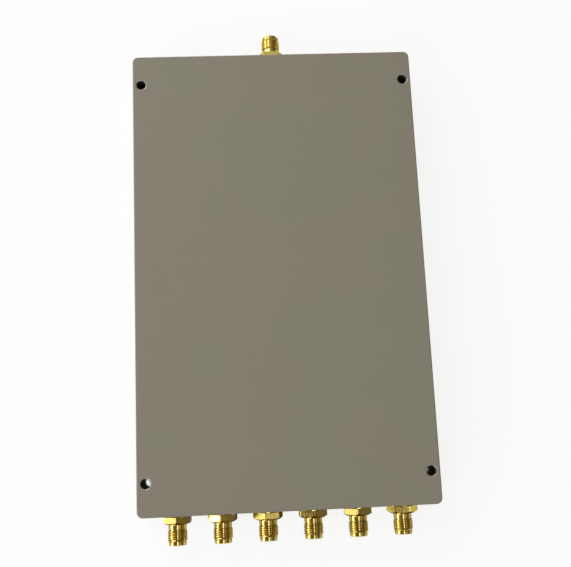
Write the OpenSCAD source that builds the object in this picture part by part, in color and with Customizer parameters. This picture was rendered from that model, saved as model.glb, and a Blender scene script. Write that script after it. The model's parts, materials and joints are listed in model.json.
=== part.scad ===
// Six-way coaxial power splitter: a flat milled tray that holds a printed divider network,
// with one screw-in jack on its input edge and a row of six on its output edge.
// Sizes are in millimetres. The plain face is up, the cover is below with its outer side at
// z = 0, +Y points to the input edge, and the outputs count up towards +X.

/* [Box] */
// Width of the box, along the row of output jacks
body_w = 100; // [98:1:140]
// Length of the box, from the output edge to the input edge
body_l = 160; // [150:1:220]
// Thickness of the box with its cover on
body_t = 13.5; // [12:0.5:20]
// Radius of the upright corners
corner_r = 2; // [1:0.25:2.75]
// Bevel round the plain face and round the cover
edge_break = 0.4; // [0.2:0.1:0.8]
// Thickness of the long walls
side_wall = 6; // [5.5:0.25:7]
// Thickness of the end walls, which carry the jacks
end_wall = 6; // [5.75:0.25:8]
// Radius that the cutter leaves in the upright corners of the tray
tray_r = 3; // [1.5:0.5:5]

/* [Mounting holes] */
// Diameter of the through holes near the corners
mount_hole_d = 3; // [2.6:0.1:4]
// Distance from a long edge to the middle of a hole
mount_side_inset = 3; // [2.75:0.25:3.25]
// Distance from an end edge to the middle of a hole
mount_end_inset = 10.75; // [9:0.25:20]
// Bevel at the mouth of a hole on the plain face
mount_bevel = 0.5; // [0.1:0.05:0.55]

/* [Cover] */
// Thickness of the cover plate
cover_t = 2; // [1.6:0.1:2.5]
// Thread diameter of the countersunk cover screws
cover_screw_d = 2.5; // [2:0.1:2.6]
// Length of a cover screw
cover_screw_l = 6; // [5:0.5:7]
// Diameter of a cover screw's head
cover_head_d = 4.7; // [4:0.1:5]
// Depth of the head below the cover's outer side
cover_head_sink = 0.1; // [0:0.05:0.2]
// Distance between the screws along a long wall
cover_screw_pitch = 35; // [20:1:45]

/* [Jacks] */
// Distance from a long edge to the nearest output jack
output_side_inset = 12.5; // [11:0.25:15]
// Depth of the jacks' axes below the plain face
axis_drop = 6.75; // [6.25:0.25:7.25]
// Width of the hexagon across its flats
hex_af = 9; // [8:0.1:9.5]
// Thickness of the hexagon
hex_t = 2.4; // [1.2:0.1:3]
// Diameter of the smooth neck in front of the hexagon
neck_d = 5.9; // [5.4:0.1:6.2]
// Length of the neck
neck_l = 1.95; // [1:0.05:4]
// Outside diameter of the coupling thread
thread_d = 6.35; // [6.25:0.05:6.5]
// Length of the coupling thread
thread_l = 3.7; // [3:0.1:6]
// Diameter of the smooth nose in front of the thread
nose_d = 5.7; // [5.2:0.1:6]
// Length of the nose
nose_l = 1.15; // [0.6:0.05:2]
// Diameter of the rear thread that screws into the wall
shank_d = 7; // [6.4:0.1:7.2]
// Length of the rear thread
shank_l = 5.5; // [4:0.25:5.75]
// Diameter of the socket that takes the plug's outer conductor
socket_d = 4.6; // [4.5:0.05:4.8]
// Depth of the socket
socket_depth = 1.95; // [1.5:0.05:2.4]
// Diameter of the dielectric sleeve
dielectric_d = 4.1; // [3.6:0.1:4.3]

/* [Contacts] */
// Outside diameter of the socket end of a contact
contact_d = 1.27; // [1.2:0.01:1.5]
// Length of the socket end
contact_l = 5; // [4:0.25:6]
// Diameter of the hole that takes the plug's pin
contact_bore_d = 0.96; // [0.9:0.01:1]
// Depth of that hole
contact_bore_depth = 2.9; // [2.6:0.1:3.5]
// Width of the slots between the spring fingers
finger_slot_w = 0.15; // [0.1:0.01:0.18]
// Length of the slots
finger_slot_l = 2.2; // [1.5:0.1:2.5]
// Diameter of the solder pin
pin_d = 1; // [0.7:0.05:1.2]
// Length of the solder pin that lies on the board
pin_reach = 3; // [2:0.25:4]

/* [Lock washers] */
// Distance between the hexagon and the wall, which the teeth fill
washer_t = 0.4; // [0.3:0.05:0.9]
// Outside diameter over the teeth
washer_d = 10.2; // [9.8:0.1:10.4]
// Outside diameter of the flat ring
washer_ring_d = 8.6; // [8.2:0.1:8.8]
// Thickness of the sheet
washer_sheet = 0.25; // [0.2:0.05:0.4]
// Number of teeth
washer_teeth = 16; // [12:1:18]
// Width of a tooth
tooth_w = 1.1; // [0.9:0.05:1.2]

/* [Board] */
// Thickness of the laminate
board_t = 1.5; // [0.8:0.1:2]
// Thickness of the etched copper
copper_t = 0.07; // [0.05:0.01:0.1]
// Gap between the board and the walls of the tray
board_gap = 0.2; // [0.1:0.05:0.4]
// Distance from the board's end to the copper
copper_margin = 0.5; // [0.3:0.1:1]
// Thread diameter of the board screws
board_screw_d = 2; // [1.6:0.1:2.3]
// Length of a board screw under its head
board_screw_l = 4; // [3.5:0.25:4.5]
// Diameter of a board screw's head
board_head_d = 3.8; // [3:0.1:4]
// Height of a board screw's head
board_head_h = 1.3; // [1:0.1:1.6]
// Distance from the board's ends to the outer rows of screws
board_screw_inset = 12; // [9:0.5:16]

/* [Divider network] */
// Width of the lines that run to the jacks
line_w = 3; // [2.4:0.1:3.2]
// Width of the quarter-wave arms
arm_w = 1.5; // [1:0.1:1.6]
// Gap between two lines that a chip bridges
line_gap = 2; // [1.6:0.1:2.4]
// Mean radius of the rings that the arms form
ring_r = 11; // [9.5:0.25:11.5]
// Place of the three-way ring, measured along the box from its middle
split_y = 40; // [36:1:44]
// Place of the two-way rings, measured along the box from its middle
pair_y = -18; // [-22:1:-14]
// Length of the lines between a two-way ring and the bend towards its jacks
fan_drop = 10; // [8:1:14]
// Length of a chip resistor
chip_l = 3.2; // [3:0.1:3.6]
// Width of a chip resistor
chip_w = 1.6; // [1.2:0.1:2]
// Thickness of a chip resistor
chip_t = 0.6; // [0.4:0.05:0.8]
// Distance from the end of the arms to the middle of the chip
chip_drop = 3; // [2:0.25:5]

/* [Fits] */
// Radial play of a screwed-in thread in its tapped hole
thread_play = 0.05; // [0.03:0.01:0.1]
// Radial play of a screw or a washer round a plain shank
shank_play = 0.1; // [0.06:0.01:0.15]
// Depth of a tapped hole beyond the end of its screw
tap_spare = 0.6; // [0.3:0.1:1]

/* [Hidden] */
$fn = 96;
output_count = 6;
resistor_count = 5;
// Angle of one corner of each hexagon from straight up, towards +X for the outputs, as the
// jacks happened to end up when they were screwed home: the input first, then the outputs
hex_turns = [30, 0, -7, -13, 2, -4, 22];
// Slope of the bevel on a hexagon's front, and the width of the round face that it leaves
hex_bevel_slope = 30;
hex_face_d = 0.86 * hex_af;
// Small bevels on the turned parts
thread_lead = 0.3;
nose_bevel = 0.25;
screw_tip = 0.3;
// Cross recess of the cover screws, and slot of the board screws
recess_w = 0.6;
recess_span = 2.6;
recess_depth = 0.8;
slot_depth = 0.6;
// Extra length that carries a cut clear of the surface
cut = 1;

paint_colour = [0.51, 0.49, 0.44];
gold_colour = [0.83, 0.67, 0.28];
ptfe_colour = [0.93, 0.93, 0.90];
steel_colour = [0.72, 0.73, 0.75];
laminate_colour = [0.78, 0.72, 0.56];
copper_colour = [0.80, 0.47, 0.31];
chip_colour = [0.16, 0.16, 0.17];

// Heights, from the cover's outer side up to the floor of the tray
axis_z = body_t - axis_drop;
copper_z = axis_z + pin_d / 2;
board_z = copper_z + copper_t;
floor_z = board_z + board_t;

// Outlines inside the box
tray_w = body_w - 2 * side_wall;
tray_l = body_l - 2 * end_wall;
board_w = tray_w - 2 * board_gap;
board_l = tray_l - 2 * board_gap;

// Distance between neighbouring output jacks, which share out the row evenly
output_pitch = (body_w - 2 * output_side_inset) / (output_count - 1);

// Stations along a jack's axis, outwards from the wall
hex_front = washer_t + hex_t;
neck_end = hex_front + neck_l;
thread_end = neck_end + thread_l;
tip = thread_end + nose_l;
socket_floor = tip - socket_depth;
contact_back = socket_floor - contact_l;
pin_end = -(end_wall + board_gap + pin_reach);

// Twist that makes the teeth as high as the gap they fill
tooth_twist = asin(washer_t / norm([tooth_w, washer_sheet])) - atan2(washer_sheet, tooth_w);

// Grid that the artwork of the divider network is drawn on
artwork_grid = 0.01;
function on_grid(v) = round(v / artwork_grid) * artwork_grid;

// Divider network: distances between lines, ends of the arms, and the rows between them
line_pitch = line_w + line_gap;
pair_x = 2 * output_pitch;
split_arm_end = on_grid(split_y - sqrt(ring_r ^ 2 - line_pitch ^ 2));
pair_arm_end = on_grid(pair_y - sqrt(ring_r ^ 2 - (line_pitch / 2) ^ 2));
feed_y = on_grid((split_arm_end + pair_y + ring_r) / 2);
fan_y = pair_arm_end - fan_drop;
line_end = board_l / 2 - copper_margin - line_w / 2;

// Folds that make the middle arm of the first split as long as its side arms
side_arm_l = ring_r * (180 - asin(line_pitch / ring_r)) * PI / 180;
fold_depth = on_grid((side_arm_l - (split_y + ring_r - split_arm_end)) / 4);
fold_step = 2 * arm_w;

mount_xy = [
    for (x = [-1, 1], y = [-1, 1])
        [x * (body_w / 2 - mount_side_inset), y * (body_l / 2 - mount_end_inset)]
];

wall_x = (body_w - side_wall) / 2;
wall_y = (body_l - end_wall) / 2;
cover_screw_xy = [
    for (s = [-1, 1]) each [
        for (y = [-1, 1]) each [[s * wall_x, y * wall_y], [s * output_pitch, y * wall_y]],
        for (y = [-1, 0, 1]) [s * wall_x, y * cover_screw_pitch]
    ]
];

board_screw_xy = [
    for (x = [-pair_x, 0, pair_x]) [x, board_screw_inset - board_l / 2],
    for (s = [-1, 1]) each [
        [s * output_pitch, pair_y + ring_r],
        [s * pair_x, split_arm_end],
        [s * pair_x, board_l / 2 - board_screw_inset]
    ]
];

chip_xy = [
    for (s = [-1, 1]) [s * line_pitch / 2, split_arm_end - chip_drop],
    for (x = [-pair_x, 0, pair_x]) [x, pair_arm_end - chip_drop]
];

// Jack 0 is the input, and the others are the outputs
function jack_name(k) = k == 0 ? "input" : str("output_", k);
function jack_x(k) = k == 0 ? 0 : (k - (output_count + 1) / 2) * output_pitch;

// Shapes that repeat

module rounded_rect(w, l, r) {
    core_x = w / 2 - r;
    core_y = l / 2 - r;
    square([2 * core_x, 2 * (core_y + r)], center = true);
    square([2 * (core_x + r), 2 * core_y], center = true);
    for (x = [-core_x, core_x], y = [-core_y, core_y])
        translate([x, y])
            circle(r);
}

// Bar that lies along Y, with a bevel along both upper edges
module bevelled_bar(half_w, l, t, bevel) {
    rotate([90, 0, 0])
        linear_extrude(l, center = true)
            polygon([
                [-half_w, 0],
                [half_w, 0],
                [half_w, t - bevel],
                [half_w - bevel, t],
                [bevel - half_w, t],
                [-half_w, t - bevel]
            ]);
}

// Plate with round upright corners and a bevel round its upper face
module bevelled_plate(w, l, t, r, bevel) {
    core_x = w / 2 - r;
    core_y = l / 2 - r;
    bevelled_bar(core_x + r, 2 * core_y, t, bevel);
    rotate([0, 0, 90])
        bevelled_bar(core_y + r, 2 * core_x, t, bevel);
    for (x = [-core_x, core_x], y = [-core_y, core_y])
        translate([x, y, 0])
            rotate_extrude()
                polygon([[0, 0], [r, 0], [r, t - bevel], [r - bevel, t], [0, t]]);
}

module at_each(places, z) {
    for (p = places)
        translate([p.x, p.y, z])
            children();
}

// Stands a jack's axis on its wall: +Z of the child points out of the box, +Y stays up
module at_jack(k) {
    translate([jack_x(k), (k == 0 ? 1 : -1) * body_l / 2, axis_z])
        rotate([90, 0, k == 0 ? 180 : 0])
            children();
}

// Box and cover

module mount_bore() {
    translate([0, 0, -cut])
        cylinder(d = mount_hole_d, h = body_t + 2 * cut);
    translate([0, 0, body_t - mount_bevel])
        cylinder(
            h = mount_bevel + cut,
            d1 = mount_hole_d,
            d2 = mount_hole_d + 2 * (mount_bevel + cut)
        );
}

module tapped_hole(d, depth) {
    translate([0, 0, -cut])
        cylinder(d = d + 2 * thread_play, h = depth + tap_spare + cut);
}

module housing() {
    color(paint_colour)
        difference() {
            translate([0, 0, cover_t])
                bevelled_plate(body_w, body_l, body_t - cover_t, corner_r, edge_break);
            translate([0, 0, cover_t - cut])
                linear_extrude(floor_z - cover_t + cut)
                    rounded_rect(tray_w, tray_l, tray_r);
            at_each(mount_xy, 0)
                mount_bore();
            at_each(cover_screw_xy, cover_t)
                tapped_hole(cover_screw_d, cover_head_sink + cover_screw_l - cover_t);
            at_each(board_screw_xy, floor_z)
                tapped_hole(board_screw_d, board_screw_l - board_t);
            for (k = [0 : output_count])
                at_jack(k)
                    translate([0, 0, -end_wall - tap_spare])
                        cylinder(d = shank_d + 2 * thread_play, h = end_wall + tap_spare + cut);
        }
}

// Through hole whose cone takes a countersunk head at its depth below the face
module countersink() {
    hole_r = cover_screw_d / 2 + shank_play;
    mouth_r = cover_head_d / 2 + cover_head_sink;
    translate([0, 0, -cut]) {
        cylinder(r = hole_r, h = cover_t + 2 * cut);
        cylinder(h = mouth_r - hole_r + cut, r1 = mouth_r + cut, r2 = hole_r);
    }
}

module cover() {
    color(paint_colour)
        difference() {
            translate([0, 0, cover_t])
                mirror([0, 0, 1])
                    bevelled_plate(body_w, body_l, cover_t, corner_r, edge_break);
            at_each(mount_xy, 0)
                mount_bore();
            at_each(cover_screw_xy, 0)
                countersink();
        }
}

module cover_screw() {
    head_r = cover_head_d / 2;
    thread_r = cover_screw_d / 2;
    difference() {
        rotate_extrude()
            polygon([
                [0, 0],
                [head_r, 0],
                [thread_r, head_r - thread_r],
                [thread_r, cover_screw_l - screw_tip],
                [thread_r - screw_tip, cover_screw_l],
                [0, cover_screw_l]
            ]);
        for (turn = [0, 90])
            rotate([0, 0, turn])
                cube([recess_span, recess_w, 2 * recess_depth], center = true);
    }
}

module cover_screws() {
    color(steel_colour)
        at_each(cover_screw_xy, cover_head_sink)
            cover_screw();
}

// Board, with its copper side down towards the cover

module circuit_board() {
    color(laminate_colour)
        translate([0, 0, board_z])
            linear_extrude(board_t)
                difference() {
                    rounded_rect(board_w, board_l, tray_r - board_gap);
                    for (p = board_screw_xy)
                        translate(p)
                            circle(d = board_screw_d + 2 * shank_play);
                }
}

module board_screw() {
    thread_r = board_screw_d / 2;
    difference() {
        rotate_extrude()
            polygon([
                [0, -board_head_h],
                [board_head_d / 2, -board_head_h],
                [board_head_d / 2, 0],
                [thread_r, 0],
                [thread_r, board_screw_l - screw_tip],
                [thread_r - screw_tip, board_screw_l],
                [0, board_screw_l]
            ]);
        translate([0, 0, -board_head_h])
            cube([board_head_d + cut, recess_w, 2 * slot_depth], center = true);
    }
}

module board_screws() {
    color(steel_colour)
        at_each(board_screw_xy, board_z)
            board_screw();
}

// Strip between two points in line with X or Y, with square ends
module strip(a, b, w) {
    translate((a + b) / 2)
        square([abs(a.x - b.x) + w, abs(a.y - b.y) + w], center = true);
}

module route(points, w) {
    for (i = [1 : len(points) - 1])
        strip(points[i - 1], points[i], w);
}

// Pair of arms in a ring that is open below, up to the middle of a line on either side
module ring_arms(spread) {
    difference() {
        circle(ring_r + arm_w / 2);
        circle(ring_r - arm_w / 2);
        translate([-spread, -ring_r - arm_w])
            square([2 * spread, ring_r]);
    }
}

module three_way_split() {
    route([[0, line_end], [0, split_y + ring_r]], line_w);
    translate([0, split_y])
        ring_arms(line_pitch);
    route(
        [
            [0, split_y + ring_r],
            [0, split_y + fold_step],
            [fold_depth, split_y + fold_step],
            [fold_depth, split_y],
            [-fold_depth, split_y],
            [-fold_depth, split_y - fold_step],
            [0, split_y - fold_step],
            [0, split_arm_end]
        ],
        arm_w
    );
    route([[0, split_arm_end], [0, pair_y + ring_r]], line_w);
    for (s = [-1, 1])
        route(
            [
                [s * line_pitch, split_arm_end],
                [s * line_pitch, feed_y],
                [s * pair_x, feed_y],
                [s * pair_x, pair_y + ring_r]
            ],
            line_w
        );
}

module two_way_split(x) {
    translate([x, pair_y])
        ring_arms(line_pitch / 2);
    for (s = [-1, 1])
        route(
            [
                [x + s * line_pitch / 2, pair_arm_end],
                [x + s * line_pitch / 2, fan_y],
                [x + s * output_pitch / 2, fan_y],
                [x + s * output_pitch / 2, -line_end]
            ],
            line_w
        );
}

module copper_network() {
    color(copper_colour)
        translate([0, 0, copper_z])
            linear_extrude(copper_t) {
                three_way_split();
                for (x = [-pair_x, 0, pair_x])
                    two_way_split(x);
            }
}

module isolation_resistor(i) {
    p = chip_xy[i - 1];
    color(chip_colour)
        translate([p.x, p.y, copper_z - chip_t / 2])
            cube([chip_l, chip_w, chip_t], center = true);
}

// Jacks

module hexagon() {
    corner_d = hex_af / cos(30);
    face_r = hex_face_d / 2;
    bevel_h = (corner_d / 2 - face_r) * tan(hex_bevel_slope);
    intersection() {
        rotate([0, 0, 30])
            cylinder(d = corner_d, h = hex_t, $fn = 6);
        rotate_extrude()
            polygon([
                [0, 0],
                [corner_d / 2, 0],
                [corner_d / 2, hex_t - bevel_h],
                [face_r, hex_t],
                [0, hex_t]
            ]);
    }
}

// Turned outline of the shell, from the end of its rear thread to its tip
module barrel() {
    thread_r = thread_d / 2;
    shank_r = shank_d / 2;
    nose_r = nose_d / 2;
    rotate_extrude()
        polygon([
            [0, -shank_l],
            [shank_r - thread_lead, -shank_l],
            [shank_r, thread_lead - shank_l],
            [shank_r, washer_t],
            [neck_d / 2, washer_t],
            [neck_d / 2, neck_end],
            [thread_r - thread_lead, neck_end],
            [thread_r, neck_end + thread_lead],
            [thread_r, thread_end - thread_lead],
            [thread_r - thread_lead, thread_end],
            [nose_r, thread_end],
            [nose_r, tip - nose_bevel],
            [nose_r - nose_bevel, tip],
            [0, tip]
        ]);
}

module shell(k) {
    color(gold_colour)
        at_jack(k)
            rotate([0, 0, -hex_turns[k]])
                difference() {
                    union() {
                        barrel();
                        translate([0, 0, washer_t])
                            hexagon();
                    }
                    translate([0, 0, socket_floor])
                        cylinder(d = socket_d, h = socket_depth + cut);
                    translate([0, 0, -shank_l - cut])
                        cylinder(d = dielectric_d, h = shank_l + cut + tip);
                }
}

module dielectric(k) {
    color(ptfe_colour)
        at_jack(k)
            difference() {
                translate([0, 0, -shank_l])
                    cylinder(d = dielectric_d, h = shank_l + socket_floor);
                translate([0, 0, -shank_l - cut])
                    cylinder(d = pin_d, h = shank_l + cut + tip);
                translate([0, 0, contact_back])
                    cylinder(d = contact_d, h = contact_l + cut);
            }
}

module contact(k) {
    color(gold_colour)
        at_jack(k)
            difference() {
                union() {
                    translate([0, 0, contact_back])
                        cylinder(d = contact_d, h = contact_l);
                    translate([0, 0, pin_end])
                        cylinder(d = pin_d, h = contact_back - pin_end);
                }
                translate([0, 0, socket_floor - contact_bore_depth])
                    cylinder(d = contact_bore_d, h = contact_bore_depth + cut);
                for (turn = [0, 90])
                    rotate([0, 0, turn])
                        translate([0, 0, socket_floor])
                            cube([contact_d + cut, finger_slot_w, 2 * finger_slot_l], center = true);
            }
}

// Flat ring round the rear thread, with twisted teeth that grow out of its middle
module lock_washer(k) {
    hole_d = shank_d + 2 * shank_play;
    root_r = (hole_d + washer_ring_d) / 4;
    tooth_l = washer_d / 2 - root_r;
    color(gold_colour)
        at_jack(k) {
            translate([0, 0, (washer_t - washer_sheet) / 2])
                linear_extrude(washer_sheet)
                    difference() {
                        circle(d = washer_ring_d);
                        circle(d = hole_d);
                    }
            for (i = [1 : washer_teeth])
                rotate([0, 0, i * 360 / washer_teeth])
                    translate([root_r + tooth_l / 2, 0, washer_t / 2])
                        rotate([tooth_twist, 0, 0])
                            cube([tooth_l, tooth_w, washer_sheet], center = true);
        }
}

housing();
cover();
cover_screws();
circuit_board();
copper_network();
board_screws();
for (i = [1 : resistor_count])
    isolation_resistor(i);
for (k = [0 : output_count]) {
    shell(k);
    dielectric(k);
    contact(k);
    lock_washer(k);
}
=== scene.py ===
import json
from math import atan2, cos, hypot, pi, radians, sin, tan, tau

import bmesh
import bpy
from mathutils import Matrix, Vector


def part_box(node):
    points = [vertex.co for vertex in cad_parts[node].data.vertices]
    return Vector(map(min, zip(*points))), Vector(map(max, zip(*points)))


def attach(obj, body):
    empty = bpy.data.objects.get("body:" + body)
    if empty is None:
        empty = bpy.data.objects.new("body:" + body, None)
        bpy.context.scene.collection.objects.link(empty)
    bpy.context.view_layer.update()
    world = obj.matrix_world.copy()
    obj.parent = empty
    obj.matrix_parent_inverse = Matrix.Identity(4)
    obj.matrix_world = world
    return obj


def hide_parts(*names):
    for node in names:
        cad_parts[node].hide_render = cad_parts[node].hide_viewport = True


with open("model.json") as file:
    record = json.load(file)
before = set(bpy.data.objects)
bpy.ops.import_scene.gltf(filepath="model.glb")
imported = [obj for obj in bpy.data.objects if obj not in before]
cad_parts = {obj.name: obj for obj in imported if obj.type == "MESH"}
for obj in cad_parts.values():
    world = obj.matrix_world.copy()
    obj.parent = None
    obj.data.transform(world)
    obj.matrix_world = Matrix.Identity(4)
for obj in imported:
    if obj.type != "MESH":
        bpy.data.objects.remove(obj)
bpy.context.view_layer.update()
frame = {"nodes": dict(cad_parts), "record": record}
NODES = frame["nodes"]
MOUNTS = {m["name"]: m for m in frame["record"]["mounts"]}
JACKS = ["input"] + [f"output_{k}" for k in range(1, 7)]
# Metres to the millimetre, and millimetres to the inch
MM = 0.001
INCH = 25.4
Y_AXIS = Vector((0, 1, 0))
Z_AXIS = Vector((0, 0, 1))

# Box, in millimetres, with the sizes that the solids have
CORNER_R = 2.0
EDGE_ROUND = 0.4
SEAM_BREAK = 0.1
HOLES = [Vector(m["pos_m"]) / MM for n, m in MOUNTS.items() if n.startswith("mounting_hole_")]
HOLE_R = MOUNTS["mounting_hole_1"]["dims"]["r_mm"]
HOLE_ROUND = 0.5
TRAY_WALL = 6.0
TRAY_R = 3.0
TRAY_FLOOR = 8.82
COVER_TAP_R = 1.3
COVER_TAP_END = 6.7
COVER_HOLE_R = 1.35
COVER_SINK_R = 2.45
BOARD_TAP_R = 1.05
BOARD_TAP_DEPTH = 3.1
TAP_SIDES = 32
JACK_HOLE_R = 3.55
JACK_HOLE_DEPTH = 6.6
# Length that carries a cut clear of the surface
CLEAR = 1.0

# Jacks: stations are millimetres outwards from the wall, radii are from the jack's axis
SHANK_BACK = -5.5
SHANK_R = 3.5
SHANK_PITCH = 0.75
SHANK_THREAD_END = -0.2
HEX_BACK = 0.4
HEX_FRONT = 2.8
HEX_HALF_FLAT = 4.5
HEX_FACE_R = 3.87
HEX_BEVEL_SLOPE = radians(30)
HEX_EDGE_R = 0.16
HEX_BACK_BREAK = 0.08
NECK_FILLET = 0.15
NECK_R = 2.95
NECK_END = 4.5
NECK_BREAK = 0.08
THREAD_R = MOUNTS["input_thread"]["dims"]["r_mm"]
THREAD_START = 4.75
THREAD_END = 8.4
THREAD_PITCH = INCH / 36
# Undercuts on both sides of the coupling thread
GROOVE_R = 2.6
NOSE_R = 2.85
NOSE_START = 8.62
NOSE_BEVEL_LENGTH = 0.2
NOSE_BEVEL_DEPTH = 0.22
TIP = 9.6
SOCKET_R = MOUNTS["input_socket"]["dims"]["r_mm"]
SOCKET_DEPTH = MOUNTS["input_socket"]["dims"]["length_mm"]
SOCKET_LEAD = 0.1
SLEEVE_R = 2.05
# Thread profile: slopes of the bevels at its ends and of its flanks, then shares of the pitch
START_SLOPE = 2.5
END_SLOPE = 0.7
FLANK_SLOPE = radians(60)
CREST_FLAT = 0.4
ROOT_FLAT = 0.08
THREAD_DEPTH = tan(FLANK_SLOPE) * (1 - CREST_FLAT - ROOT_FLAT) / 2
# Angle of one hexagon corner from straight up: the jacks stopped where their threads ran tight
HEX_TURNS = dict(zip(JACKS, (30, 0, -7, -13, 2, -4, 22)))

# Angles up to which neighbouring faces are shaded as one curve
BOX_SMOOTH = radians(30)
SHELL_SMOOTH = radians(40)
# Weight of a face's area in its normals: 50 is even, and 100 is the most
AREA_WEIGHT = 100


# Materials

BLACK = 0, 0, 0
WHITE = 1, 1, 1
# Values between which a noise texture mostly stays, and closer ones for the paint's clouds
NOISE_ENDS = 0.3, 0.7
CLOUD_ENDS = 0.32, 0.68
# A wave texture has this many radians to a unit at scale 1
WAVE_RADIANS = 20
WAVE_DETAIL_SCALE = 1.5
# Share of noise in the edges of the wear and of the painted bore shade round the hole mouths, and
# where the painted shade in the bores and the bare metal fade out
WEAR_AND_SHADE_NOISE = 0.2
BORE_SHADE_FADE = 0.44, 0.50
BARE_FADE = 0.62, 0.70
PAINT_WARM = 0.227, 0.204, 0.164
PAINT_COOL = 0.211, 0.210, 0.162
# Near black painted into the bores and the inner part of their mouths: painted shade that stands
# for the dark inside the deep holes
PAINTED_BORE_SHADE = 0.022, 0.021, 0.018, 1
BARE_COLOUR = 0.50, 0.49, 0.47, 1


class Nodes:
    """Adds nodes to a tree and links them."""

    def __init__(self, tree):
        self.tree = tree

    def add(self, kind, values=(), **settings):
        """New node with these settings, and with values on its input sockets."""
        node = self.tree.nodes.new(kind)
        for key, value in settings.items():
            setattr(node, key, value)
        for socket, value in dict(values).items():
            node.inputs[socket].default_value = value
        return node

    def link(self, a, b):
        self.tree.links.new(a, b)

    def ramp(self, value, *stops):
        """Colour from a list of (position, linear RGB)."""
        node = self.add("ShaderNodeValToRGB")
        elements = node.color_ramp.elements
        while len(elements) < len(stops):
            elements.new(0.5)
        for element, (position, rgb) in zip(elements, stops):
            element.position = position
            element.color = (*rgb, 1)
        self.link(value, node.inputs["Fac"])
        return node.outputs["Color"]


class Shader(Nodes):
    """A material with a Principled shader and a few procedural textures in object space."""

    def __init__(self, name, **values):
        self.material = bpy.data.materials.new(name)
        self.material.use_nodes = True
        super().__init__(self.material.node_tree)
        self.bsdf = self.tree.nodes["Principled BSDF"]
        self.place = self.add("ShaderNodeTexCoord").outputs["Object"]
        for socket, value in values.items():
            self.bsdf.inputs[socket.replace("_", " ")].default_value = value

    def noise(self, size_mm, detail=2.0, stretch=(1, 1, 1)):
        """Noise whose blotches are about that many millimetres across."""
        mapping = self.add("ShaderNodeMapping", {"Scale": stretch})
        self.link(self.place, mapping.inputs["Vector"])
        node = self.add("ShaderNodeTexNoise", {"Scale": 1 / (size_mm * MM), "Detail": detail})
        self.link(mapping.outputs["Vector"], node.inputs["Vector"])
        return node.outputs["Fac"]

    def bands(self, pitch_mm, direction, distortion=0.5):
        """Wavy parallel lines with that many millimetres from one to the next."""
        values = {
            "Scale": tau / (WAVE_RADIANS * pitch_mm * MM),
            "Distortion": distortion,
            "Detail Scale": WAVE_DETAIL_SCALE,
        }
        node = self.add("ShaderNodeTexWave", values, bands_direction=direction)
        self.link(self.place, node.inputs["Vector"])
        return node.outputs["Fac"]

    def colours(self, value, first, second, ends=NOISE_ENDS):
        """Base colour that goes from one linear RGB to another between two values."""
        colour = self.ramp(value, *zip(ends, (first, second)))
        self.link(colour, self.bsdf.inputs["Base Color"])

    def roughness(self, value, low, high):
        from_min, from_max = NOISE_ENDS
        values = {"From Min": from_min, "From Max": from_max, "To Min": low, "To Max": high}
        spread = self.add("ShaderNodeMapRange", values)
        self.link(value, spread.inputs["Value"])
        self.link(spread.outputs["Result"], self.bsdf.inputs["Roughness"])

    def bumps(self, *layers):
        """Stacks bumps of (value, strength, height in millimetres)."""
        normal = None
        for value, strength, height in layers:
            bump = self.add("ShaderNodeBump", {"Strength": strength, "Distance": height * MM})
            self.link(value, bump.inputs["Height"])
            if normal:
                self.link(normal, bump.inputs["Normal"])
            normal = bump.outputs["Normal"]
        self.link(normal, self.bsdf.inputs["Normal"])

    def across_mouths(self, ragged):
        """Rises over the rounded mouths of the through holes, from about 0.1 to 0.9 outside.

        The holes lie alike in all four corners, so one of them stands for all.
        """
        hole = abs(HOLES[0].x) * MM, abs(HOLES[0].y) * MM, 0
        fold = self.add("ShaderNodeVectorMath", operation="ABSOLUTE")
        self.link(self.place, fold.inputs[0])
        offset = self.add("ShaderNodeVectorMath", {1: hole}, operation="SUBTRACT")
        self.link(fold.outputs["Vector"], offset.inputs[0])
        flat = self.add("ShaderNodeVectorMath", {1: (1, 1, 0)}, operation="MULTIPLY")
        self.link(offset.outputs["Vector"], flat.inputs[0])
        away = self.add("ShaderNodeVectorMath", operation="LENGTH")
        self.link(flat.outputs["Vector"], away.inputs[0])
        values = {
            "From Min": HOLE_R * MM,
            "From Max": (HOLE_R + HOLE_ROUND) * MM,
            "To Max": 1 - WEAR_AND_SHADE_NOISE,
        }
        across = self.add("ShaderNodeMapRange", values, clamp=False)
        self.link(away.outputs["Value"], across.inputs["Value"])
        uneven = self.add("ShaderNodeMath", {1: WEAR_AND_SHADE_NOISE}, operation="MULTIPLY_ADD")
        self.link(ragged, uneven.inputs[0])
        self.link(across.outputs["Result"], uneven.inputs[2])
        return uneven.outputs["Value"]

    def lay_over(self, socket, mask, value):
        """Puts a plain value over what feeds a socket, as far as the mask goes."""
        target = self.bsdf.inputs[socket]
        data_type = "RGBA" if target.type == "RGBA" else "FLOAT"
        mix = self.add("ShaderNodeMix", data_type=data_type)
        factor, below, above = (i for i in mix.inputs if i.enabled)
        above.default_value = value
        self.link(mask, factor)
        self.link(target.links[0].from_socket, below)
        self.link(next(o for o in mix.outputs if o.enabled), target)


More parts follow.
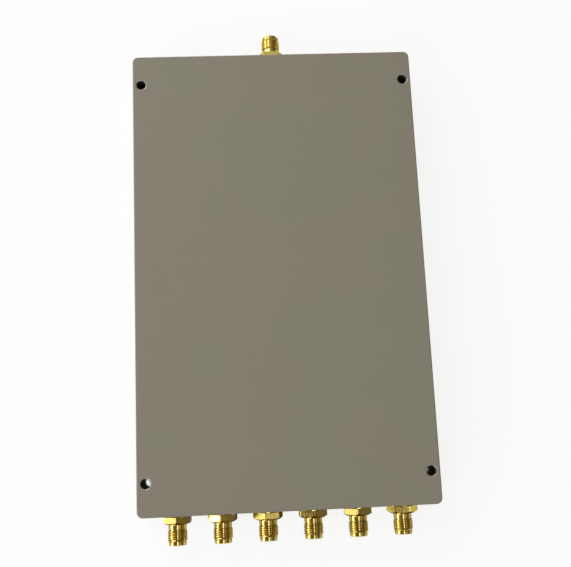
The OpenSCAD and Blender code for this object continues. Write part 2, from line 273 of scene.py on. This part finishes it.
def make_paint(name, wear_and_bore_shade):
    """Sprayed grey coat with faint cloudiness and fine orange peel.

    When the second argument is true, bare metal shows round the holes where the paint is rubbed
    off, and the bores and the inner part of their mouths are painted near black as painted shade
    of the deep holes.
    """
    s = Shader(name, Specular_IOR_Level=0.4)
    s.colours(s.noise(36, 3), PAINT_WARM, PAINT_COOL, CLOUD_ENDS)
    s.roughness(s.noise(9, 3), 0.5, 0.58)
    s.bumps((s.noise(0.9, 2), 0.5, 0.08), (s.noise(0.22, 3), 0.5, 0.03))
    if wear_and_bore_shade:
        across = s.across_mouths(s.noise(0.5, 3))
        bore_shade_end, bare_start = BORE_SHADE_FADE
        bare_end, coat_start = BARE_FADE
        # Painted shade: the bores and the inner part of their mouths turn near black and matte,
        # for the dark inside the holes
        bore = s.ramp(across, (bore_shade_end, WHITE), (bare_start, BLACK))
        bare = s.ramp(
            across,
            (bore_shade_end, BLACK), (bare_start, WHITE), (bare_end, WHITE), (coat_start, BLACK),
        )
        # Painted bore shade first, then bare metal where the paint is rubbed off
        s.lay_over("Base Color", bore, PAINTED_BORE_SHADE)
        s.lay_over("Roughness", bore, 0.9)
        s.lay_over("Base Color", bare, BARE_COLOUR)
        s.lay_over("Roughness", bare, 0.4)
        s.link(bare, s.bsdf.inputs["Metallic"])
    return s.material


def make_gold(name, tool_marks):
    """Bright gold plate, with the marks of the tool that cut the metal below it."""
    s = Shader(name, Metallic=1.0, Specular_Tint=(0.06, 0.04, 0.02, 1))
    s.colours(s.noise(1.6, 4), (0.66, 0.50, 0.13), (0.76, 0.60, 0.19))
    s.roughness(s.noise(0.7, 3), 0.1, 0.2)
    s.bumps((tool_marks(s), 0.12, 0.008), (s.noise(0.5, 3), 0.1, 0.01))
    return s.material


def make_ptfe():
    """White plastic that lets a little light in, with turning marks."""
    s = Shader("ptfe", Subsurface_Weight=0.15, Subsurface_Scale=0.5 * MM)
    s.colours(s.noise(0.8, 3), (0.82, 0.82, 0.78), (0.90, 0.90, 0.87))
    s.roughness(s.noise(0.4, 2), 0.38, 0.5)
    s.bumps((s.bands(0.09, "Z"), 0.08, 0.004), (s.noise(0.3, 3), 0.1, 0.006))
    return s.material


def make_steel():
    """Bare screw steel with a drawn grain."""
    s = Shader("steel", Metallic=1.0)
    s.colours(s.noise(1.5, 4), (0.42, 0.43, 0.45), (0.58, 0.59, 0.61))
    s.roughness(s.noise(0.6, 3), 0.26, 0.4)
    s.bumps((s.noise(0.25, 4, (1, 1, 0.3)), 0.15, 0.008))
    return s.material


def make_laminate():
    """Glass-cloth laminate: two crossing sets of yarns under a resin skin."""
    s = Shader("laminate", Specular_IOR_Level=0.5)
    s.colours(s.noise(2.5, 3), (0.52, 0.44, 0.25), (0.60, 0.51, 0.31))
    s.roughness(s.noise(1.2, 2), 0.35, 0.5)
    s.bumps((s.bands(0.5, "X"), 0.2, 0.02), (s.bands(0.5, "Y"), 0.2, 0.02))
    return s.material


def make_copper():
    """Etched copper, unevenly dulled."""
    s = Shader("copper", Metallic=1.0)
    s.colours(s.noise(3, 5), (0.50, 0.20, 0.09), (0.66, 0.30, 0.15))
    s.roughness(s.noise(1, 3), 0.25, 0.42)
    s.bumps((s.noise(0.2, 3), 0.15, 0.006))
    return s.material


def make_chip():
    """Black glaze of a chip resistor."""
    s = Shader("chip", Specular_IOR_Level=0.5)
    s.colours(s.noise(0.6, 3), (0.016, 0.016, 0.018), (0.034, 0.034, 0.036))
    s.roughness(s.noise(0.4, 2), 0.3, 0.45)
    s.bumps((s.noise(0.15, 3), 0.2, 0.006))
    return s.material


# Grey paint with bare metal worn round the hole mouths and painted shade in the bores
BOX_PAINT = make_paint("worn_grey_paint", True)
COVER_PAINT = make_paint("grey_paint", False)
TURNED_GOLD = make_gold("turned_gold", lambda s: s.bands(0.07, "Y"))
SHEET_GOLD = make_gold("sheet_gold", lambda s: s.noise(0.3, 4, (1, 0.2, 1)))
PTFE = make_ptfe()
STEEL = make_steel()
LAMINATE = make_laminate()
COPPER = make_copper()
CHIP = make_chip()


# Mesh helpers

def put_in_scene(name, data):
    """New object of the scene."""
    obj = bpy.data.objects.new(name, data)
    bpy.context.scene.collection.objects.link(obj)
    return obj


def add_object(name, bm):
    """Turns a bmesh in millimetres into an object in metres."""
    bmesh.ops.recalc_face_normals(bm, faces=bm.faces)
    bmesh.ops.scale(bm, vec=(MM, MM, MM), verts=bm.verts)
    mesh = bpy.data.meshes.new(name)
    bm.to_mesh(mesh)
    bm.free()
    return put_in_scene(name, mesh)


def dress(obj, node, material, smooth_angle):
    """Makes an object the piece that stands for a CAD node."""
    obj.data.materials.clear()
    obj.data.materials.append(material)
    obj.data.shade_smooth()
    obj.data.set_sharp_from_angle(angle=smooth_angle)
    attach(obj, "root")
    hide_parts(node)


def rounding(radius, steps=5):
    """Points of a quarter round, as (how far in, how far up)."""
    for i in range(steps + 1):
        turn = i / steps * pi / 2
        yield radius * (1 - cos(turn)), radius * sin(turn)


class Skin:
    """Rows of points wound round an axis, joined into one surface. Equal points are one vertex."""

    def __init__(self, origin, across, up, along):
        self.bm = bmesh.new()
        self.axes = origin, across, up, along
        self.known = {}

    def vertex(self, r, angle, station):
        origin, across, up, along = self.axes
        p = origin + r * (cos(angle) * across + sin(angle) * up) + station * along
        key = tuple(round(c, 5) for c in p)
        if key not in self.known:
            self.known[key] = self.bm.verts.new(p)
        return self.known[key]

    def join(self, rows):
        rows = [[self.vertex(*point) for point in row] for row in rows]
        for low, high in zip(rows, rows[1:]):
            for i in range(len(low) - 1):
                corners = dict.fromkeys((low[i], low[i + 1], high[i + 1], high[i]))
                if len(corners) > 2:
                    self.bm.faces.new(corners)


# Jacks

def jack_root(jack):
    """Where a jack's axis meets the wall, in millimetres, and the way the jack points."""
    mount = MOUNTS[f"{jack}_thread"]
    low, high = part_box("housing")
    along = Vector(mount["axis"])
    root = Vector(mount["pos_m"])
    root.y = high.y if along.y > 0 else low.y
    return root / MM, along


def hexagon_columns(first_angle):
    """Angles round a jack, with the distance to the hexagon's side there.

    The steps are fine at its rounded corners.
    """
    flat_spans, corner_spans = 14, 4
    corner_centre = (HEX_HALF_FLAT - HEX_EDGE_R) / cos(pi / 6)
    flat_half = (HEX_HALF_FLAT - HEX_EDGE_R) * tan(pi / 6)
    columns = []
    for sector in range(6):
        corner = first_angle + sector * pi / 3
        for i in range(corner_spans + 1):
            lean = (i / corner_spans - 0.5) * pi / 3
            x = corner_centre + HEX_EDGE_R * cos(lean)
            y = HEX_EDGE_R * sin(lean)
            columns.append((corner + atan2(y, x), hypot(x, y)))
        for i in range(1, flat_spans):
            y = (2 * i / flat_spans - 1) * flat_half
            angle = corner + pi / 6 + atan2(y, HEX_HALF_FLAT)
            columns.append((angle, hypot(y, HEX_HALF_FLAT)))
    angle, r = columns[0]
    return columns + [(angle + tau, r)]


def ring(columns, r, station):
    return [(r, angle, station) for angle, _ in columns]


def thread_rows(columns, start, end, outer_r, pitch):
    """Rows that wind along a thread, four to a turn, and run out in a bevel at both ends."""
    first_angle = columns[0][0]
    root_r = outer_r - THREAD_DEPTH * pitch
    crest, root = CREST_FLAT / 2, 0.5 - ROOT_FLAT / 2
    profile = (-root, THREAD_DEPTH), (-crest, 0), (crest, 0), (root, THREAD_DEPTH)
    rows = []
    for turn in range(-1, int((end - start) / pitch) + 2):
        for phase, below_crest in profile:
            row = []
            for angle, _ in columns:
                station = start + (turn + 0.5 + phase + (angle - first_angle) / tau) * pitch
                station = min(max(station, start), end)
                rise = min(START_SLOPE * (station - start), END_SLOPE * (end - station))
                row.append((min(outer_r - below_crest * pitch, root_r + rise), angle, station))
            rows.append(row)
    return rows


def hexagon_rows(columns):
    """Rows over the hexagon, from its back to the round face that its bevel leaves in front."""
    slope = tan(HEX_BEVEL_SLOPE)
    yield [(r - HEX_BACK_BREAK, angle, HEX_BACK) for angle, r in columns]
    yield [(r, angle, HEX_BACK + HEX_BACK_BREAK) for angle, r in columns]
    yield [(r, angle, HEX_FRONT - (r - HEX_FACE_R) * slope) for angle, r in columns]
    yield ring(columns, HEX_FACE_R, HEX_FRONT)


def make_shell(jack):
    """Turned body of a jack, from the back of its bore over the outside and into the socket."""
    origin, along = jack_root(jack)
    skin = Skin(origin, Z_AXIS.cross(along), Z_AXIS, along)
    columns = hexagon_columns(radians(90 - HEX_TURNS[jack]))
    shank_root = SHANK_R - THREAD_DEPTH * SHANK_PITCH
    rows = [ring(columns, SLEEVE_R, SHANK_BACK)]
    rows += thread_rows(columns, SHANK_BACK, SHANK_THREAD_END, SHANK_R, SHANK_PITCH)
    rows += [ring(columns, shank_root, HEX_BACK)]
    rows += hexagon_rows(columns)
    rows += [
        ring(columns, NECK_R + NECK_FILLET - up_by, HEX_FRONT + in_by)
        for in_by, up_by in rounding(NECK_FILLET, steps=3)
    ]
    rows += [
        ring(columns, NECK_R, NECK_END - NECK_BREAK),
        ring(columns, NECK_R - NECK_BREAK, NECK_END),
        ring(columns, GROOVE_R, NECK_END),
        ring(columns, GROOVE_R, THREAD_START),
    ]
    rows += thread_rows(columns, THREAD_START, THREAD_END, THREAD_R, THREAD_PITCH)
    rows += [
        ring(columns, GROOVE_R, THREAD_END),
        ring(columns, GROOVE_R, NOSE_START),
        ring(columns, NOSE_R, NOSE_START),
        ring(columns, NOSE_R, TIP - NOSE_BEVEL_LENGTH),
        ring(columns, NOSE_R - NOSE_BEVEL_DEPTH, TIP),
        ring(columns, SOCKET_R + SOCKET_LEAD, TIP),
        ring(columns, SOCKET_R, TIP - SOCKET_LEAD),
        ring(columns, SOCKET_R, TIP - SOCKET_DEPTH),
        ring(columns, SLEEVE_R, TIP - SOCKET_DEPTH),
        rows[0],
    ]
    skin.join(rows)
    shell = add_object(f"{jack}_threaded_shell", skin.bm)
    dress(shell, f"{jack}_shell", TURNED_GOLD, SHELL_SMOOTH)


# Box and cover

def outline(half_w, half_l, r, steps=10):
    """Rounded rectangle as a loop of points."""
    points = []
    for corner in range(4):
        sx = 1 if corner in (0, 3) else -1
        sy = 1 if corner < 2 else -1
        for i in range(steps + 1):
            turn = (corner + i / steps) * pi / 2
            points.append((sx * (half_w - r) + r * cos(turn), sy * (half_l - r) + r * sin(turn)))
    return points


def make_block(name, half_w, half_l, r, levels):
    """Closed block whose outline steps in by so much at each level, a list of (inset, height)."""
    bm = bmesh.new()
    loops = []
    for inset, z in levels:
        points = outline(half_w - inset, half_l - inset, r - inset)
        loops.append([bm.verts.new((x, y, z)) for x, y in points])
    for low, high in zip(loops, loops[1:]):
        for i in range(len(low)):
            j = (i + 1) % len(low)
            bm.faces.new((low[i], low[j], high[j], high[i]))
    bm.faces.new(reversed(loops[0]))
    bm.faces.new(loops[-1])
    return add_object(name, bm)


def make_cutter(name, origin, along, profile, sides=64):
    """Turned cutter from a list of (radius, station) along a direction."""
    across = along.orthogonal().normalized()
    skin = Skin(origin, across, along.cross(across), along)
    angles = [i / sides * tau for i in range(sides + 1)]
    rows = [[(r, angle, station) for angle in angles] for r, station in profile]
    skin.join(rows)
    for end in rows[0], rows[-1]:
        skin.bm.faces.new([skin.vertex(*point) for point in end[:-1]])
    return add_object(name, skin.bm)


def upright_cutters(name, spots, profile, **settings):
    """The same cutter at each spot, along Z from the underside of the box."""
    return [
        make_cutter(f"{name}_{i}", Vector((spot.x, spot.y, 0)), Z_AXIS, profile, **settings)
        for i, spot in enumerate(spots)
    ]


def mounting_cutters(top):
    """Plain through holes, with a rounded mouth where they meet the plain face."""
    mouth = [
        (HOLE_R + HOLE_ROUND - up_by, top - in_by) for in_by, up_by in rounding(HOLE_ROUND)
    ]
    profile = [(HOLE_R, -CLEAR)] + mouth[::-1] + [(HOLE_R + HOLE_ROUND, top + CLEAR)]
    return upright_cutters("mounting_cut", HOLES, profile)


def carve(obj, cutters):
    """Takes the cutters out of an object and drops them."""
    group = bpy.data.collections.new(f"{obj.name}_cutters")
    for cutter in cutters:
        group.objects.link(cutter)
    boolean = obj.modifiers.new("carve", "BOOLEAN")
    boolean.operation = "DIFFERENCE"
    boolean.operand_type = "COLLECTION"
    boolean.collection = group
    boolean.solver = "EXACT"
    view = bpy.context.evaluated_depsgraph_get()
    carved = bpy.data.meshes.new_from_object(obj.evaluated_get(view))
    obj.modifiers.clear()
    obj.data = carved
    for cutter in cutters:
        bpy.data.objects.remove(cutter)
    bpy.data.collections.remove(group)


def even_normals(obj):
    """Keeps large flat faces flat beside their rounded edges."""
    weighted = obj.modifiers.new("even_normals", "WEIGHTED_NORMAL")
    weighted.keep_sharp = True
    weighted.weight = AREA_WEIGHT


def places(node, apart=6.0):
    """Middle, in millimetres, of each of the equal fasteners in a node."""
    groups = []
    for v in NODES[node].data.vertices:
        point = v.co / MM
        for group in groups:
            if (group[0].xy - point.xy).length < apart:
                group.append(point)
                break
        else:
            groups.append([point])
    return [sum(group, Vector()).xy / len(group) for group in groups]


def make_housing():
    """Tray with its holes, whose floor is the plain face on top."""
    low, high = (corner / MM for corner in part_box("housing"))
    levels = [(SEAM_BREAK, low.z), (0, low.z + SEAM_BREAK)]
    levels += [(in_by, high.z - EDGE_ROUND + up_by) for in_by, up_by in rounding(EDGE_ROUND)]
    body = make_block("painted_housing", high.x, high.y, CORNER_R, levels)
    cutters = mounting_cutters(high.z)
    depth = [(0, low.z - CLEAR), (0, TRAY_FLOOR)]
    cutters.append(make_block("tray_cut", high.x - TRAY_WALL, high.y - TRAY_WALL, TRAY_R, depth))
    tap = [(COVER_TAP_R, low.z - CLEAR), (COVER_TAP_R, COVER_TAP_END)]
    cutters += upright_cutters("cover_tap", places("cover_screws"), tap, sides=TAP_SIDES)
    tap = [(BOARD_TAP_R, TRAY_FLOOR - CLEAR), (BOARD_TAP_R, TRAY_FLOOR + BOARD_TAP_DEPTH)]
    cutters += upright_cutters("board_tap", places("board_screws"), tap, sides=TAP_SIDES)
    bore = [(JACK_HOLE_R, -JACK_HOLE_DEPTH), (JACK_HOLE_R, CLEAR)]
    cutters += [make_cutter(f"{jack}_cut", *jack_root(jack), bore) for jack in JACKS]
    carve(body, cutters)
    dress(body, "housing", BOX_PAINT, BOX_SMOOTH)
    even_normals(body)


def make_cover():
    """Plate under the tray, with countersunk screw holes."""
    low, high = (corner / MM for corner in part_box("cover"))
    edge = [(in_by, low.z + EDGE_ROUND - up_by) for in_by, up_by in rounding(EDGE_ROUND)]
    levels = edge[::-1] + [(0, high.z - SEAM_BREAK), (SEAM_BREAK, high.z)]
    plate = make_block("painted_cover", high.x, high.y, CORNER_R, levels)
    sink = [
        (COVER_SINK_R + CLEAR, low.z - CLEAR),
        (COVER_HOLE_R, low.z + COVER_SINK_R - COVER_HOLE_R),
        (COVER_HOLE_R, high.z + CLEAR),
    ]
    cutters = mounting_cutters(high.z + 2 * CLEAR)
    cutters += upright_cutters("sink_cut", places("cover_screws"), sink)
    carve(plate, cutters)
    dress(plate, "cover", COVER_PAINT, BOX_SMOOTH)
    even_normals(plate)


make_housing()
make_cover()
for jack in JACKS:
    make_shell(jack)

# Finish of the nodes that keep their solids
FINISHES = {
    "cover_screws": STEEL,
    "board_screws": STEEL,
    "circuit_board": LAMINATE,
    "copper_network": COPPER,
    "isolation_resistor": CHIP,
    "dielectric": PTFE,
    "contact": TURNED_GOLD,
    "lock_washer": SHEET_GOLD,
}
for name, node in NODES.items():
    for part, finish in FINISHES.items():
        if part in name:
            node.data.materials.clear()
            node.data.materials.append(finish)


# Stage: pale floor, soft light and camera, in metres

FLOOR_HALF = 3.0
FLOOR_WHITE = 0.96, 0.96, 0.96, 1
# How much of the floor's look is plain white rather than the light that falls on it
FLOOR_GLOW = 0.86

# The room's colour at the horizon, and the one it reaches at this height of a unit sphere
HORIZON = 0.23, 0.20, 0.15
ZENITH = 0.15, 0.12, 0.08
ZENITH_HEIGHT = 0.9

# Soft lamps that face the middle: name, place, size across and along Y, radiance
LAMPS = (
    ("left_wall", (-1.3, 0.1, 0.42), (0.76, 1.8), 1.2),
    ("left_bar", (-0.97, 0.05, 0.24), (0.14, 1.1), 4.5),
    ("far_left", (-0.65, 1.125, 0.75), (1.0, 0.7), 3.7),
    ("near_left", (-0.96, -0.96, 0.63), (1.0, 0.7), 4.1),
    ("overhead_line", (0.14, 0.0, 1.6), (0.28, 1.6), 2.2),
    ("right_line", (0.9, 0.0, 1.3), (0.15, 1.6), 0.8),
    ("far_ceiling", (0.2, 0.82, 1.6), (0.9, 0.5), 0.2),
    ("far_slope", (-0.85, 0.85, 1.5), (0.9, 0.6), 1.2),
)
# Watts that give a square metre of lamp a radiance of 1
LAMP_WATTS = 4

# The camera stands over the output end and leans a little
CAMERA_AT = Vector((-0.01135, -0.05359, 0.27816))
CAMERA_TARGET = Vector((0.00142, -0.00459, 0.0135))
CAMERA_ROLL = radians(2.54)
CAMERA_LENS = 49.55
CAMERA_NEAR = 0.01


def make_floor():
    """Card that looks nearly white to the camera and in reflections, and keeps the shadow."""
    mesh = bpy.data.meshes.new("floor")
    signs = (-1, -1), (1, -1), (1, 1), (-1, 1)
    corners = [(x * FLOOR_HALF, y * FLOOR_HALF, 0) for x, y in signs]
    mesh.from_pydata(corners, [], [(0, 1, 2, 3)])
    material = bpy.data.materials.new("pale_floor")
    material.use_nodes = True
    tree = material.node_tree
    tree.nodes.remove(tree.nodes["Principled BSDF"])
    n = Nodes(tree)
    card = n.add("ShaderNodeBsdfDiffuse", {"Color": FLOOR_WHITE})
    white = n.add("ShaderNodeEmission")
    path = n.add("ShaderNodeLightPath")
    seen = path.outputs["Is Camera Ray"]
    for ray in "Is Glossy Ray", "Is Transmission Ray":
        either = n.add("ShaderNodeMath", operation="MAXIMUM")
        n.link(seen, either.inputs[0])
        n.link(path.outputs[ray], either.inputs[1])
        seen = either.outputs["Value"]
    share = n.add("ShaderNodeMath", {1: FLOOR_GLOW}, operation="MULTIPLY")
    n.link(seen, share.inputs[0])
    mix = n.add("ShaderNodeMixShader")
    n.link(share.outputs["Value"], mix.inputs["Fac"])
    n.link(card.outputs["BSDF"], mix.inputs[1])
    n.link(white.outputs["Emission"], mix.inputs[2])
    n.link(mix.outputs["Shader"], tree.nodes["Material Output"].inputs["Surface"])
    mesh.materials.append(material)
    floor = put_in_scene("floor", mesh)


def make_world():
    """Dim room that gets lighter towards the horizon."""
    world = bpy.data.worlds.new("room")
    bpy.context.scene.world = world
    world.use_nodes = True
    n = Nodes(world.node_tree)
    place = n.add("ShaderNodeTexCoord")
    split = n.add("ShaderNodeSeparateXYZ")
    n.link(place.outputs["Generated"], split.inputs["Vector"])
    colour = n.ramp(split.outputs["Z"], (0, HORIZON), (ZENITH_HEIGHT, ZENITH))
    n.link(colour, world.node_tree.nodes["Background"].inputs["Color"])


def stand(obj, at, across, up, back):
    """Places a lamp or camera, which looks away from its back."""
    axes = Matrix((across, up, back)).transposed().to_4x4()
    obj.matrix_world = Matrix.Translation(at) @ axes


def make_lamp(name, at, size, radiance):
    """Rectangular lamp whose face has that radiance."""
    light = bpy.data.lights.new(name, "AREA")
    light.shape = "RECTANGLE"
    light.size, light.size_y = size
    light.energy = LAMP_WATTS * radiance * size[0] * size[1]
    lamp = put_in_scene(name, light)
    back = at.normalized()
    across = Y_AXIS.cross(back).normalized()
    stand(lamp, at, across, back.cross(across), back)
    lamp.visible_camera = False


def make_camera():
    forward = (CAMERA_TARGET - CAMERA_AT).normalized()
    right = forward.cross(Y_AXIS).normalized()
    up = cos(CAMERA_ROLL) * right.cross(forward) + sin(CAMERA_ROLL) * right
    lens = bpy.data.cameras.new("camera")
    lens.lens = CAMERA_LENS
    lens.clip_start = CAMERA_NEAR
    camera = put_in_scene("camera", lens)
    stand(camera, CAMERA_AT, forward.cross(up), up, -forward)
    bpy.context.scene.camera = camera


make_floor()
make_world()
for name, at, size, radiance in LAMPS:
    make_lamp(name, Vector(at), size, radiance)
make_camera()
bpy.context.scene.view_settings.view_transform = "Standard"
